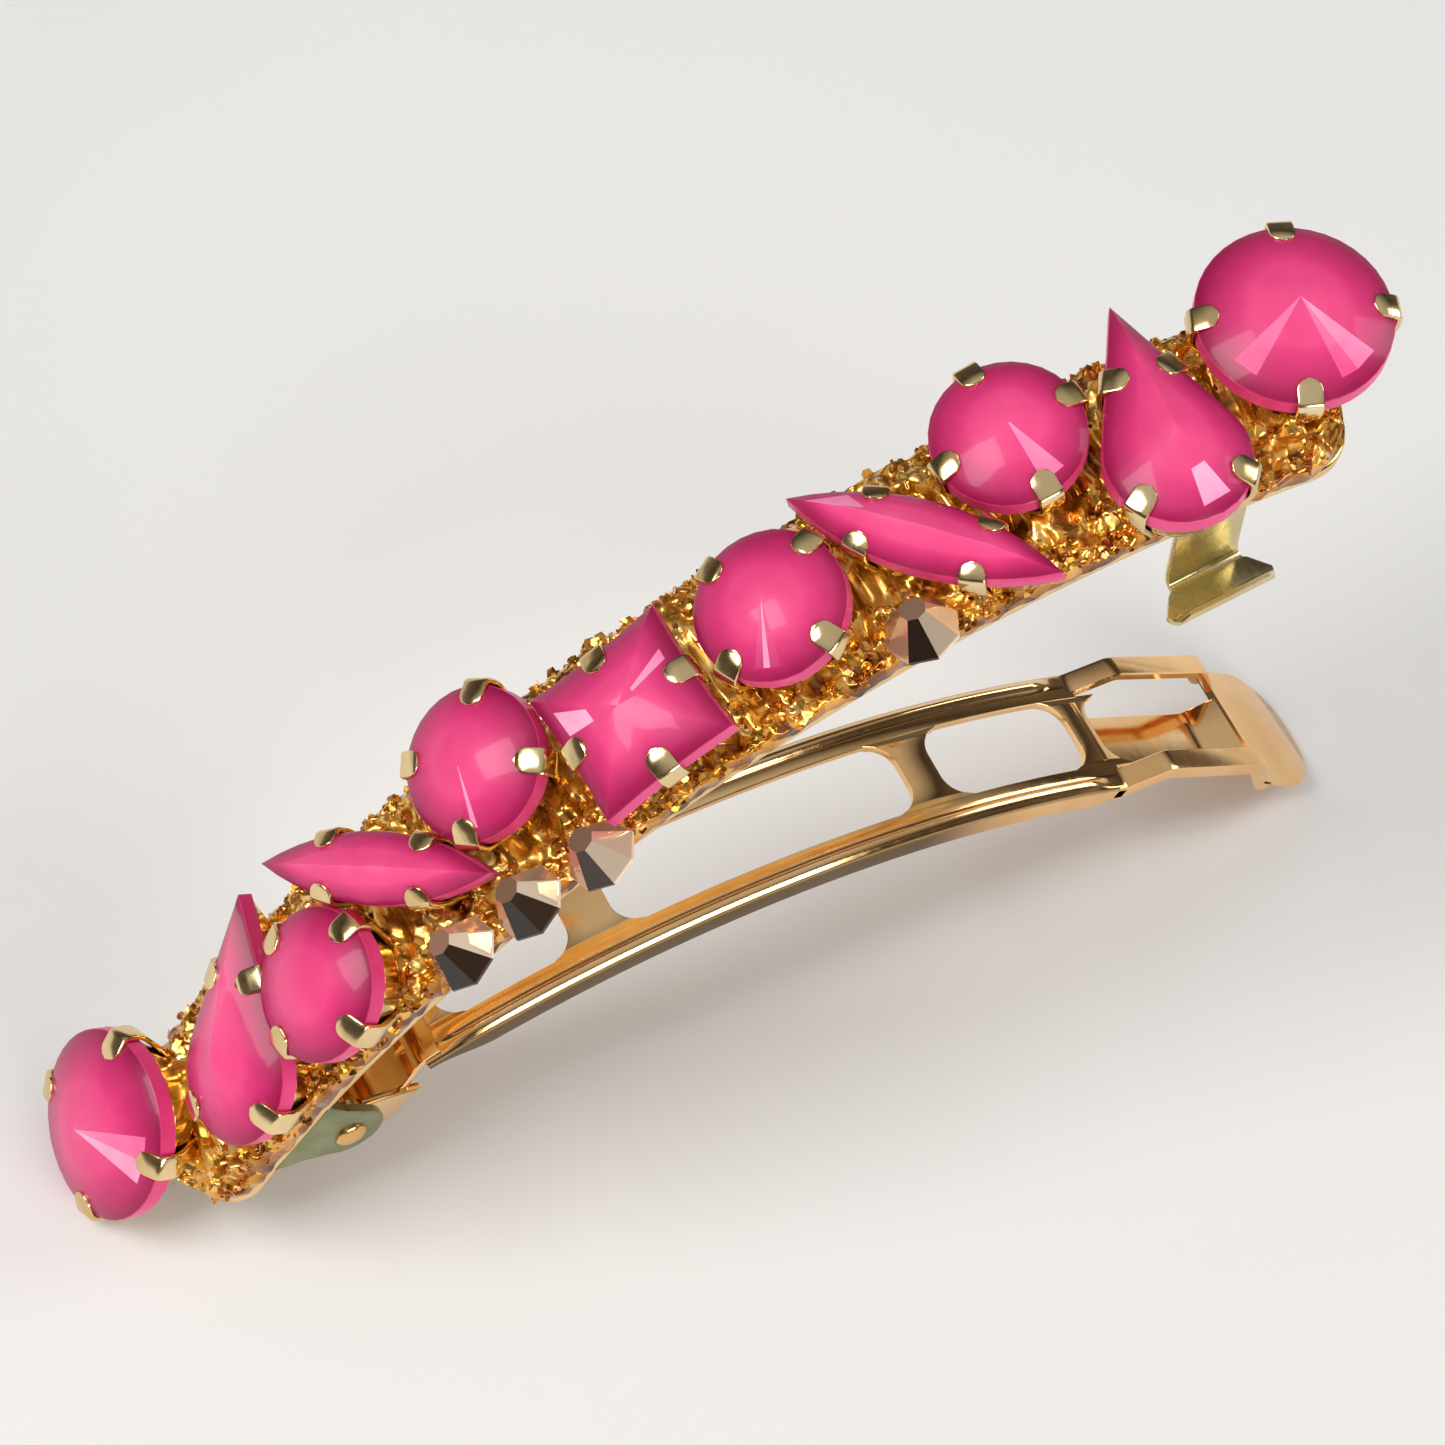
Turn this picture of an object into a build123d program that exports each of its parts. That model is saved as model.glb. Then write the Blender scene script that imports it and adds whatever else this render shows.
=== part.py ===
"""Rhinestone hair clip: an 80 mm spring barrette, lying open, set with claw-mounted stones.

The row frame has +X from the hinge end to the clasp end, +Y across the clip away from its front
edge, and +Z up from the surface that the open clip lies on. Sizes are millimetres and degrees.
"""
import os
from math import acos, cos, degrees, radians, sin

from build123d import *

# ---- the clip's arc: one centre for the plate, the glue and the stones -------------------------
ARC_X, ARC_Z = 24.28, -18.55      # arc centre in the row frame
LEAN = -32.3                     # middle of the plate, degrees from vertical towards the hinge
GIRDLE_R = 63.7                  # arc through the widest line of the stones
PLATE_R = 58.5                   # underside of the base plate
PLATE_T = 0.8
PLATE_W = 9.4
PLATE_START, PLATE_END = -37.0, 37.2   # hinge end and clasp end, degrees from the middle of the arc
PLATE_ROUND_START, PLATE_ROUND_END = 4.5, 3.4
GLUE_T = 1.6
GLUE_W = 10.2
GLUE_START, GLUE_END = -36.4, 36.9
GLUE_ROUND_START, GLUE_ROUND_END = 4.9, 4.0

# ---- hinge: two ears folded down from the plate, and a headed pin ------------------------------
PIN_S = -31.8                    # along the girdle arc, from the middle of the plate
PIN_DEPTH = 3.1                  # below the underside of the plate
PIN_R = 0.6
PIN_CLEARANCE = 0.06
PIN_HEAD_R = 0.85
PIN_HEAD_T = 0.35
EAR_T = 0.6
EAR_ROUND = 1.9
EAR_ROOT = 2.9

# ---- locking arm -------------------------------------------------------------------------------
ARM_R = 50.2                     # arc of the arm's upper face, which passes through the pin
ARM_START = -30.6                # angle of that arc at the pin, from vertical
ARM_W = 7.7
ARM_T = 0.6
FLANGE_T = 0.4                   # turned-down outer edge of each rail
FLANGE_H = 1.5
BEAD_R = 0.5                     # round bead standing on each rail
BEAD_Y = 3.0
BEAD_SPAN = (7.5, 47.0)
SLOT_W = 4.4
SLOTS = [(7.0, 14.8), (17.4, 35.2), (37.2, 46.8)]
CHEEK_T = 0.45
CHEEK_ROUND = 1.35
TAIL_DROP = 2.9                  # the hinge end of the arm passes this far under the pin
BUCKLE = (48.2, 50.8, 58.4, 60.4)  # foot and top of the rise, then top and foot of the fall
BUCKLE_RISE = 1.3
RAIL_W = 1.3
TONGUE_DROP = 1.7
TONGUE_W = 4.0
TAB_END = 66.6

# ---- clasp: a bracket riveted under the plate, and its two sprung legs -------------------------
CLASP_S = 34.6
CLASP_TURN = 5                  # the bracket sits slightly turned about its rivet, degrees
LEG_W = 4.4
LEG_T = 0.4
LIP_W = 6.6
LEG_TOP_Y = 1.6
NECK_Y = 1.95
NECK_DEPTH = 9.6
LIP_Y = 4.3
LIP_H = 0.9
LIP_BEND = 0.45
LIP_DROP = 0.6                   # from the neck down to the lip's floor
LIP_FLARE = 0.15
LEG_GAP = 0.15                   # between a leg's top edge and the bracket
BRACKET_T = 0.5
BRACKET_W = 5.4
BRACKET_HALF = 3.1               # half of its arc, degrees
RIVET_R = 0.8
RIVET_HEAD_R = 1.3
RIVET_HEAD_T = 0.4
RIVET_SINK = 0.02                # the rivet's flush end stays this far inside the plate

# ---- stones and their claw settings ------------------------------------------------------------
ROUND_R = {"round_10": 5.0, "round_8": 3.9}
PEAR_R, PEAR_L = 3.7, 12.7
NAVETTE_W, NAVETTE_L = 3.7, 14.2
SQUARE_W, SQUARE_CORNER = 7.7, 0.25
CROWN_H = {"round_10": 1.85, "round_8": 1.5, "pear": 1.6, "navette": 1.2, "square": 1.5}
GIRDLE_T = 1.0
STONE_DEPTH = 3.0                # from the girdle's top to the bottom facet
SETTING_H = 3.4
CUP_FLOOR = 0.3
CUP_TOP, CUP_FOOT = 0.97, 0.70   # cup outside, as shares of the stone's outline
CUP_IN_TOP, CUP_IN_FOOT = 0.88, 0.60
BACK_TOP, BACK_FOOT = 0.86, 0.30
CROWN_TIP = 0.08
PRONG_W = 1.3
PRONG_T = 0.3
PRONG_GAP = 0.05
PRONG_REACH = 1.0

# name, outline, place along the arc, place across, lift, turn, lean along and lean across
STONES = [
    ("01_round", "round_10", 39.2, 1.7, 0.0, -20, -8, 3),
    ("02_pear", "pear", 29.8, -3.2, 0.0, 83, 0, 0),
    ("03_round", "round_8", 23.1, 1.7, 0.0, 3, -3, 1),
    ("04_navette", "navette", 17.0, -1.1, 0.0, -47, 0, 0),
    ("05_round", "round_8", 8.9, -0.3, 0.0, 28, -3, 0),
    ("06_square", "square", 0.4, -1.1, 0.0, 4, 0, 0),
    ("07_round", "round_8", -7.8, 1.7, 0.0, 55, -3, 0),
    ("08_navette", "navette", -15.2, 0.7, 0.0, -38, 0, 0),
    ("09_round", "round_8", -21.4, -1.9, 0.0, 16, -2, -1),
    ("10_pear", "pear", -29.5, -1.6, -0.8, 49, 0, 0),
    ("11_round", "round_10", -39.7, 2.2, 0.0, 30, 4, 0),
]

# ---- chatons: small eight-sided double cones set in the glue along the front edge --------------
CHATON_R, CHATON_TABLE = 1.95, 0.7
CHATON_UP, CHATON_DOWN = 1.9, 1.3
CHATON_ROLL = -14                # they lean towards the back
CHATONS = [
    ("1", 14.7, -4.7, -1.8),
    ("2", -4.9, -5.4, -2.1),
    ("3", -9.4, -5.3, -1.8),
    ("4", -13.9, -5.2, -1.8),
]


def arc_direction(s):
    """Unit vectors along the clip and outward from it, s millimetres along the girdle arc."""
    angle = radians(LEAN) + s / GIRDLE_R
    return Vector(cos(angle), 0, -sin(angle)), Vector(sin(angle), 0, cos(angle))


def on_arc(radius, s, y=0.0, turn=0.0, lean=0.0, roll=0.0):
    """Plane on the clip's arc: its x runs along the clip and its z outward."""
    along, outward = arc_direction(s)
    origin = Vector(ARC_X, y, ARC_Z) + outward * radius
    tilt = Rotation(roll, lean, 0) * Rotation(0, 0, turn)
    return Plane(Plane(origin, x_dir=along, z_dir=outward).location * tilt)


def side_view(s, radius, y):
    """Plane seen from the front: its x runs along the clip at s and its y outward."""
    along, outward = arc_direction(s)
    origin = Vector(ARC_X, y, ARC_Z) + outward * radius
    return Plane(origin, x_dir=along, z_dir=(0, -1, 0))


def end_view(place):
    """Plane across a place on the arc: its x runs across the clip and its y outward."""
    return Plane(place.origin, x_dir=place.y_dir, z_dir=place.x_dir)


def band(centre, inner, outer, start, end):
    """Part of a ring in the XZ plane, between two angles from vertical."""
    def point(radius, angle):
        return (centre[0] + radius * sin(radians(angle)), centre[1] + radius * cos(radians(angle)))
    middle = (start + end) / 2
    with BuildLine() as edge:
        ThreePointArc(point(outer, start), point(outer, middle), point(outer, end))
        Line(point(outer, end), point(inner, end))
        ThreePointArc(point(inner, end), point(inner, middle), point(inner, start))
        Line(point(inner, start), point(outer, start))
    return make_face(edge.edges(), mode=Mode.PRIVATE)


def finish(piece, name):
    """Label a finished piece and write it."""
    piece.part.label = name
    export_step(piece.part, f"parts/{name}.step")


os.makedirs("parts", exist_ok=True)
ARC = (ARC_X, ARC_Z)
PIN_OUT = arc_direction(PIN_S)[1]
PIN = Vector(ARC_X, 0, ARC_Z) + PIN_OUT * (PLATE_R - PIN_DEPTH)
FRONT = Plane((0, 0, 0), x_dir=(1, 0, 0), z_dir=(0, -1, 0))

# ---- base plate --------------------------------------------------------------------------------
with BuildPart() as base_plate:
    with BuildSketch(FRONT):
        add(band(ARC, PLATE_R, PLATE_R + PLATE_T, LEAN + PLATE_START, LEAN + PLATE_END))
    extrude(amount=PLATE_W / 2, both=True)
    ends = base_plate.edges().filter_by(GeomType.LINE).filter_by(lambda e: abs(e.length - PLATE_T) < 0.01)
    fillet(ends.sort_by(Axis.X)[:2], PLATE_ROUND_START)
    ends = base_plate.edges().filter_by(GeomType.LINE).filter_by(lambda e: abs(e.length - PLATE_T) < 0.01)
    fillet(ends.sort_by(Axis.X)[-2:], PLATE_ROUND_END)
    with BuildSketch(side_view(PIN_S, PLATE_R - PIN_DEPTH, -PLATE_W / 2)) as ear:
        Circle(EAR_ROUND)
        Polygon((-EAR_ROOT, PIN_DEPTH + PLATE_T / 2), (-EAR_ROUND, 0), (EAR_ROUND, 0),
                (EAR_ROOT, PIN_DEPTH + PLATE_T / 2), align=None)
        Circle(PIN_R, mode=Mode.SUBTRACT)
    ears = extrude(amount=-EAR_T)
    mirror(ears, about=Plane.XZ)
    with BuildSketch(on_arc(PLATE_R, CLASP_S)):
        Circle(RIVET_R)
    extrude(amount=PLATE_T * 2, mode=Mode.SUBTRACT)
finish(base_plate, "base_plate")

# ---- hinge pin, headed outside each ear --------------------------------------------------------
with BuildPart() as hinge_pin:
    with BuildSketch(Plane(PIN, x_dir=(1, 0, 0), z_dir=(0, 1, 0))):
        Circle(PIN_R)
    extrude(amount=PLATE_W / 2, both=True)
    with BuildSketch(Plane(PIN + Vector(0, PLATE_W / 2, 0), x_dir=(1, 0, 0), z_dir=(0, 1, 0))):
        Circle(PIN_HEAD_R)
    heads = extrude(amount=PIN_HEAD_T)
    mirror(heads, about=Plane.XZ)
    rims = hinge_pin.faces().sort_by(Axis.Y)
    fillet(rims[0].edges() + rims[-1].edges(), PIN_HEAD_T * 0.6)
finish(hinge_pin, "hinge_pin")


# ---- locking arm -------------------------------------------------------------------------------
def arm_angle(s):
    """Angle from vertical of the arm's arc, s millimetres from the pin."""
    return ARM_START + degrees(s / ARM_R)


ARM_ARC = (PIN.X - ARM_R * sin(radians(ARM_START)), PIN.Z - ARM_R * cos(radians(ARM_START)))


def on_arm(s, n):
    """Point in the XZ plane, s along the arm and n outward from its upper face."""
    angle = radians(arm_angle(s))
    return (ARM_ARC[0] + (ARM_R + n) * sin(angle), ARM_ARC[1] + (ARM_R + n) * cos(angle))


def arm_face(stations):
    """Side view of a piece of the arm, from its (s, n) corners."""
    with BuildLine() as edge:
        Polyline(*[on_arm(s, n) for s, n in stations], close=True)
    return make_face(edge.edges(), mode=Mode.PRIVATE)


def arm_top(s):
    """Plane on the arm's upper face, s from the pin: x along the arm and z outward."""
    x, z = on_arm(s, 0)
    angle = radians(arm_angle(s))
    return Plane((x, 0, z), x_dir=(cos(angle), 0, -sin(angle)), z_dir=(sin(angle), 0, cos(angle)))


def arm_section(s):
    """Plane across the arm at s: x along +Y and y outward."""
    top = arm_top(s)
    return Plane(top.origin, x_dir=(0, 1, 0), z_dir=top.x_dir)


def arm_band(start, end, low, high):
    """Side view of a stretch of the arm's arc, between two heights from its upper face."""
    return band(ARM_ARC, ARM_R + low, ARM_R + high, arm_angle(start), arm_angle(end))


HALF = ARM_W / 2
FOOT, RISEN, FALLING, LEVEL = BUCKLE
SHEET_START = 5.4
SINK = 0.15                      # how far a bent strip starts inside the sheet it grows from
with BuildPart() as locking_arm:
    # sheet from the first slot to the buckle, and the tail that passes under the pin
    with BuildSketch(FRONT):
        add(arm_band(SHEET_START, FOOT + 0.2, -ARM_T, 0))
    extrude(amount=HALF, both=True)
    with BuildSketch(FRONT):
        add(arm_face([(SHEET_START + 0.5, -SINK), (3.6, -1.6), (1.8, -TAIL_DROP + 0.2), (-1.5, -TAIL_DROP),
                      (-1.5, -TAIL_DROP - ARM_T), (2.2, -TAIL_DROP - ARM_T + 0.1), (4.2, -2.3),
                      (SHEET_START + 0.7, SINK - ARM_T)]))
    extrude(amount=HALF - CHEEK_T / 2, both=True)
    # tab beyond the buckle, rounded in plan
    with BuildSketch(FRONT):
        add(arm_band(LEVEL - 0.2, TAB_END, -ARM_T, 0))
    extrude(amount=HALF, both=True)
    tip = locking_arm.edges().filter_by(GeomType.LINE).filter_by(lambda e: abs(e.length - ARM_T) < 0.01)
    fillet(tip.sort_by(Axis.X)[-2:], HALF - 0.3)
    # turned-down outer edges
    with BuildSketch(FRONT.offset(HALF - FLANGE_T)):
        add(arm_band(SHEET_START + 0.6, FOOT - 0.6, -FLANGE_H, 0))
    mirror(extrude(amount=FLANGE_T), about=Plane.XZ)
    # slots between the rails
    for start, stop in SLOTS:
        with BuildSketch(arm_top((start + stop) / 2)):
            SlotOverall(stop - start, SLOT_W)
        extrude(amount=FLANGE_H * 2, both=True, mode=Mode.SUBTRACT)
    # a rounded bead along each rail
    with BuildSketch(arm_section(BEAD_SPAN[0])):
        with Locations((BEAD_Y, 0), (-BEAD_Y, 0)):
            Circle(BEAD_R)
    arm_axis = Axis((ARM_ARC[0], 0, ARM_ARC[1]), (0, 1, 0))
    revolve(axis=arm_axis, revolution_arc=arm_angle(BEAD_SPAN[1]) - arm_angle(BEAD_SPAN[0]))
    for s in BEAD_SPAN:
        x, z = on_arm(s, 0)
        with Locations((x, BEAD_Y, z), (x, -BEAD_Y, z)):
            Sphere(BEAD_R)
    # raised rails of the buckle
    with BuildSketch(FRONT.offset(HALF - RAIL_W)):
        add(arm_face([(FOOT - 0.4, -SINK), (FOOT, -SINK), (RISEN, BUCKLE_RISE), (FALLING, BUCKLE_RISE),
                      (LEVEL, -SINK), (LEVEL + 0.4, -SINK), (LEVEL + 0.4, SINK - ARM_T),
                      (LEVEL - 0.4, SINK - ARM_T),
                      (FALLING - 0.4, BUCKLE_RISE - ARM_T), (RISEN + 0.3, BUCKLE_RISE - ARM_T),
                      (FOOT + 0.3, SINK - ARM_T), (FOOT - 0.4, SINK - ARM_T)]))
    mirror(extrude(amount=RAIL_W), about=Plane.XZ)
    # lowered tongue between them
    with BuildSketch(FRONT):
        add(arm_face([(FOOT - 0.4, -SINK), (FOOT, -SINK), (FOOT + 0.8, -TONGUE_DROP),
                      (FALLING + 0.2, -TONGUE_DROP),
                      (LEVEL, -SINK), (LEVEL + 0.4, -SINK), (LEVEL + 0.4, SINK - ARM_T),
                      (FALLING + 0.6, -TONGUE_DROP - ARM_T), (FOOT + 0.3, -TONGUE_DROP - ARM_T),
                      (FOOT - 0.4, SINK - ARM_T)]))
    extrude(amount=TONGUE_W / 2, both=True)
    # cheeks that turn up to the pin
    with BuildSketch(FRONT.offset(HALF - CHEEK_T)):
        add(arm_face([(-CHEEK_ROUND, 0), (CHEEK_ROUND, 0), (4.1, -2.0), (1.9, -TAIL_DROP - 0.3),
                      (-CHEEK_ROUND, -TAIL_DROP - 0.3)]))
        with Locations((PIN.X, PIN.Z)):
            Circle(CHEEK_ROUND)
            Circle(PIN_R + PIN_CLEARANCE, mode=Mode.SUBTRACT)
    mirror(extrude(amount=CHEEK_T), about=Plane.XZ)
finish(locking_arm, "locking_arm")

# ---- clasp -------------------------------------------------------------------------------------
CLASP = on_arc(PLATE_R, CLASP_S, turn=CLASP_TURN)
CLASP_ANGLE = LEAN + degrees(CLASP_S / GIRDLE_R)
with BuildPart() as clasp_bracket:
    with BuildSketch(FRONT):
        add(band(ARC, PLATE_R - BRACKET_T, PLATE_R, CLASP_ANGLE - BRACKET_HALF, CLASP_ANGLE + BRACKET_HALF))
    extrude(amount=BRACKET_W / 2, both=True)
    with BuildSketch(CLASP.offset(-BRACKET_T * 2)):
        Circle(RIVET_R)
    extrude(amount=BRACKET_T * 4, mode=Mode.SUBTRACT)
finish(clasp_bracket, "clasp_bracket")

with BuildPart() as clasp_rivet:
    with BuildSketch(CLASP.offset(PLATE_T - RIVET_SINK)):
        Circle(RIVET_R)
    extrude(amount=-(PLATE_T + BRACKET_T))
    with BuildSketch(CLASP.offset(-BRACKET_T - RIVET_SINK)):
        Circle(RIVET_HEAD_R)
    extrude(amount=-RIVET_HEAD_T)
    fillet(clasp_rivet.faces().sort_by(Axis.Z)[0].edges(), RIVET_HEAD_T * 0.6)
finish(clasp_rivet, "clasp_rivet")

LEG_TOP = (LEG_TOP_Y, -BRACKET_T - LEG_GAP)
NECK = (NECK_Y, -NECK_DEPTH)
LIP_LOW = -NECK_DEPTH - LIP_DROP
LIP_START = (NECK_Y + LIP_BEND, LIP_LOW)
LIP_FLOOR = (NECK_Y + LIP_BEND * 2, LIP_LOW)
LIP_EDGE = (LIP_Y + LIP_FLARE, LIP_LOW + LIP_H)
with BuildPart() as clasp_leg_back:
    with BuildSketch(end_view(CLASP)) as leg:
        with BuildLine():
            FilletPolyline(LEG_TOP, (LEG_TOP_Y, -NECK_DEPTH / 2), NECK, LIP_START, (LIP_Y, LIP_LOW),
                           LIP_EDGE, radius=LIP_BEND)
        trace(line_width=LEG_T)
    extrude(amount=LEG_W / 2, both=True)
    with BuildSketch(end_view(CLASP)) as lip:
        with BuildLine():
            FilletPolyline(LIP_FLOOR, (LIP_Y, LIP_LOW), LIP_EDGE, radius=LIP_BEND)
        trace(line_width=LEG_T)
    extrude(amount=LIP_W / 2, both=True)
finish(clasp_leg_back, "clasp_leg_back")

with BuildPart() as clasp_leg_front:
    middle = Plane(CLASP.origin, x_dir=CLASP.x_dir, z_dir=CLASP.y_dir)
    add(mirror(clasp_leg_back.part, about=middle, mode=Mode.PRIVATE))
finish(clasp_leg_front, "clasp_leg_front")


# ---- stones and settings -----------------------------------------------------------------------
def outline(shape, scale=1.0):
    """Draw a stone's outline in the open sketch, scaled about its own centre."""
    if shape in ROUND_R:
        Circle(ROUND_R[shape] * scale)
    elif shape == "square":
        RectangleRounded(SQUARE_W * scale, SQUARE_W * scale, SQUARE_CORNER * scale)
    elif shape == "navette":
        reach, rise = NAVETTE_L / 2 * scale, NAVETTE_W / 2 * scale
        with BuildLine() as edge:
            ThreePointArc((-reach, 0), (0, rise), (reach, 0))
            ThreePointArc((reach, 0), (0, -rise), (-reach, 0))
        make_face(edge.edges())
    else:
        radius, tip = PEAR_R * scale, (PEAR_L - PEAR_R) * scale
        touch = acos(radius / tip)
        x, y = radius * cos(touch), radius * sin(touch)
        with BuildLine() as edge:
            Polyline((x, y), (tip, 0), (x, -y))
            ThreePointArc((x, -y), (-radius, 0), (x, y))
        make_face(edge.edges())


def frustum(place, shape, low, low_scale, high, high_scale):
    """Solid between two scaled copies of a stone's outline."""
    with BuildSketch(place.offset(low)) as lower:
        outline(shape, low_scale)
    with BuildSketch(place.offset(high)) as upper:
        outline(shape, high_scale)
    return loft([lower.sketch.face(), upper.sketch.face()], mode=Mode.PRIVATE)


def prong_feet(shape):
    """Where the four prongs cross the outline: place along, place across, outward angle."""
    if shape in ROUND_R:
        radius = ROUND_R[shape]
        return [(radius * cos(radians(a)), radius * sin(radians(a)), a) for a in (0, 90, 180, 270)]
    if shape == "square":
        half = SQUARE_W / 2
        return [(half, 0, 0), (0, half, 90), (-half, 0, 180), (0, -half, 270)]
    if shape == "navette":
        bow = (NAVETTE_L ** 2 + NAVETTE_W ** 2) / (4 * NAVETTE_W)
        x = NAVETTE_L * 0.21
        y = (bow ** 2 - x ** 2) ** 0.5 - bow + NAVETTE_W / 2
        slope = degrees(acos(x / bow))
        return [(x, y, slope), (-x, y, 180 - slope), (-x, -y, 180 + slope), (x, -y, -slope)]
    tip = PEAR_L - PEAR_R
    slope = degrees(acos(PEAR_R / tip))
    x = tip * 0.55
    y = (tip - x) / (tip ** 2 - PEAR_R ** 2) ** 0.5 * PEAR_R
    a, b = PEAR_R * cos(radians(125)), PEAR_R * sin(radians(125))
    return [(x, y, slope), (a, b, 125), (a, -b, -125), (x, -y, -slope)]


def prong(place, shape, x, y, angle):
    """One claw: up the cup's side, past the girdle and folded over the crown."""
    out = place.x_dir * cos(radians(angle)) + place.y_dir * sin(radians(angle))
    origin = place.origin + place.x_dir * x + place.y_dir * y
    half = x * cos(radians(angle)) + y * sin(radians(angle))
    reach = min(PRONG_REACH, 0.3 * half)
    rest = CROWN_H[shape] * reach / (1 - CROWN_TIP) / half + PRONG_GAP
    wall_foot = -(1 - CUP_FOOT) * half
    wall_top = -(1 - CUP_TOP) * half
    with BuildSketch(Plane(origin, x_dir=out, z_dir=out.cross(place.z_dir))) as side:
        Polygon((wall_foot - 0.1, -SETTING_H + 0.1), (wall_top - 0.15, -GIRDLE_T), (PRONG_GAP, -GIRDLE_T),
                (PRONG_GAP, PRONG_GAP), (-reach, rest), (-reach, rest + PRONG_T * 0.8),
                (PRONG_GAP - 0.1, PRONG_GAP + PRONG_T), (PRONG_GAP + PRONG_T, -0.1),
                (PRONG_GAP + PRONG_T, -GIRDLE_T - 0.3), (wall_foot + PRONG_T, -SETTING_H + 0.1), align=None)
    return extrude(side.sketch, amount=PRONG_W / 2, both=True, mode=Mode.PRIVATE)


glue_cuts = []
for name, shape, s, y, lift, turn, lean, roll in STONES:
    seat = on_arc(GIRDLE_R + lift, s, y, turn, lean, roll)
    with BuildPart() as stone:
        add(frustum(seat, shape, -GIRDLE_T, 1, 0, 1))
        add(frustum(seat, shape, 0, 1, CROWN_H[shape], CROWN_TIP))
        add(frustum(seat, shape, -STONE_DEPTH, BACK_FOOT, -GIRDLE_T, BACK_TOP))
    finish(stone, f"stone_{name}")
    with BuildPart() as setting:
        add(frustum(seat, shape, -SETTING_H, CUP_FOOT, -GIRDLE_T, CUP_TOP))
        for foot in prong_feet(shape):
            add(prong(seat, shape, *foot))
        glue_cuts.append(setting.part)
        hollow = frustum(seat, shape, -SETTING_H + CUP_FLOOR, CUP_IN_FOOT, -GIRDLE_T, CUP_IN_TOP)
        add(hollow, mode=Mode.SUBTRACT)
    finish(setting, f"setting_{name}")

for name, s, y, lift in CHATONS:
    seat = on_arc(GIRDLE_R + lift, s, y, roll=CHATON_ROLL)
    with BuildPart() as chaton:
        with BuildSketch(seat):
            RegularPolygon(CHATON_R, 8)
        with BuildSketch(seat.offset(CHATON_UP)):
            RegularPolygon(CHATON_TABLE, 8)
        loft()
        with BuildSketch(seat):
            RegularPolygon(CHATON_R, 8)
        with BuildSketch(seat.offset(-CHATON_DOWN)):
            RegularPolygon(CHATON_TABLE, 8)
        loft()
    glue_cuts.append(chaton.part)
    finish(chaton, f"chaton_{name}")

# ---- glue bed, moulded round the settings ------------------------------------------------------
with BuildPart() as glue_bed:
    with BuildSketch(FRONT):
        add(band(ARC, PLATE_R + PLATE_T, PLATE_R + PLATE_T + GLUE_T, LEAN + GLUE_START, LEAN + GLUE_END))
    extrude(amount=GLUE_W / 2, both=True)
    corners = glue_bed.edges().filter_by(GeomType.LINE).filter_by(lambda e: abs(e.length - GLUE_T) < 0.01)
    fillet(corners.sort_by(Axis.X)[:2], GLUE_ROUND_START)
    corners = glue_bed.edges().filter_by(GeomType.LINE).filter_by(lambda e: abs(e.length - GLUE_T) < 0.01)
    fillet(corners.sort_by(Axis.X)[-2:], GLUE_ROUND_END)
    for cut in glue_cuts:
        add(cut, mode=Mode.SUBTRACT)
finish(glue_bed, "glue_bed")
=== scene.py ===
"""Looks of the rhinestone hair clip: cut pink stones in claw settings, glitter glue and gold sheet metal.

Shapes are worked out in millimetres in the CAD's own frame and written to the meshes in metres.
"""
import math
import random

import bpy
from mathutils import Matrix, Vector, noise


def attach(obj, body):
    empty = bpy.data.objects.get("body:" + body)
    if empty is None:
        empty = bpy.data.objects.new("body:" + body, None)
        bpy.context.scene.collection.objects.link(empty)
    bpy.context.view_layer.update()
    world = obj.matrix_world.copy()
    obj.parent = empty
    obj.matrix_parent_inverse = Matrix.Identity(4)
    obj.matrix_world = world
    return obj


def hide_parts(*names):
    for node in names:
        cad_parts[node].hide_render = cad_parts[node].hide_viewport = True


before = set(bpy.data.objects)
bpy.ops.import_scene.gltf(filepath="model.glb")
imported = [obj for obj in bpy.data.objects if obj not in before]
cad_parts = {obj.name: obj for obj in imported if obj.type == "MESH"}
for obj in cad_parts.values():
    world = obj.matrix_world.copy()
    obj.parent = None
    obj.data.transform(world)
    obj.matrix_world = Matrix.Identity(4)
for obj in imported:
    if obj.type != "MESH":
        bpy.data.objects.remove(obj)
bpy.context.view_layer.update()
MM = 0.001

# ---- the clip's arc, as in the CAD model -------------------------------------------------------
ARC_X, ARC_Z = 24.28, -18.55
LEAN = -32.3
GIRDLE_R = 63.7
PLATE_R, PLATE_T, PLATE_W = 58.5, 0.8, 9.4
PLATE_START, PLATE_END = -37.0, 37.2
PLATE_ROUND_START, PLATE_ROUND_END = 4.5, 3.4
GLUE_T, GLUE_W = 1.6, 10.2
GLUE_START, GLUE_END = -36.4, 36.9
GLUE_ROUND_START, GLUE_ROUND_END = 4.9, 4.0
PIN_S, PIN_DEPTH, PIN_R = -31.8, 3.1, 0.6
PIN_HEAD = [(0.25, 0.35), (0.5, 0.33), (0.72, 0.25), (0.84, 0.12), (0.85, 0.0)]  # radius, height
EAR_T, EAR_ROUND, EAR_ROOT = 0.6, 1.9, 2.9

# ---- clasp: bracket, rivet and legs ------------------------------------------------------------
CLASP_S, CLASP_TURN = 34.6, 5
BRACKET_W, BRACKET_T, BRACKET_HALF_ANGLE = 5.4, 0.5, 3.1
RIVET_R, RIVET_SINK = 0.8, 0.02
RIVET_HEAD = [(0.3, 0.4), (0.8, 0.36), (1.15, 0.24), (1.3, 0.06), (1.3, 0.0)]    # radius, height
LEG_PATH = [(1.6, -0.65), (1.6, -4.8), (1.95, -9.6), (2.25, -10.2), (4.3, -10.2), (4.45, -9.3)]
LEG_HALF_W, LEG_HALF_T = 2.2, 0.2
LIP_LENGTH, LIP_SPREAD, LIP_TAPER = 2.5, 1.1, 0.8

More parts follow.
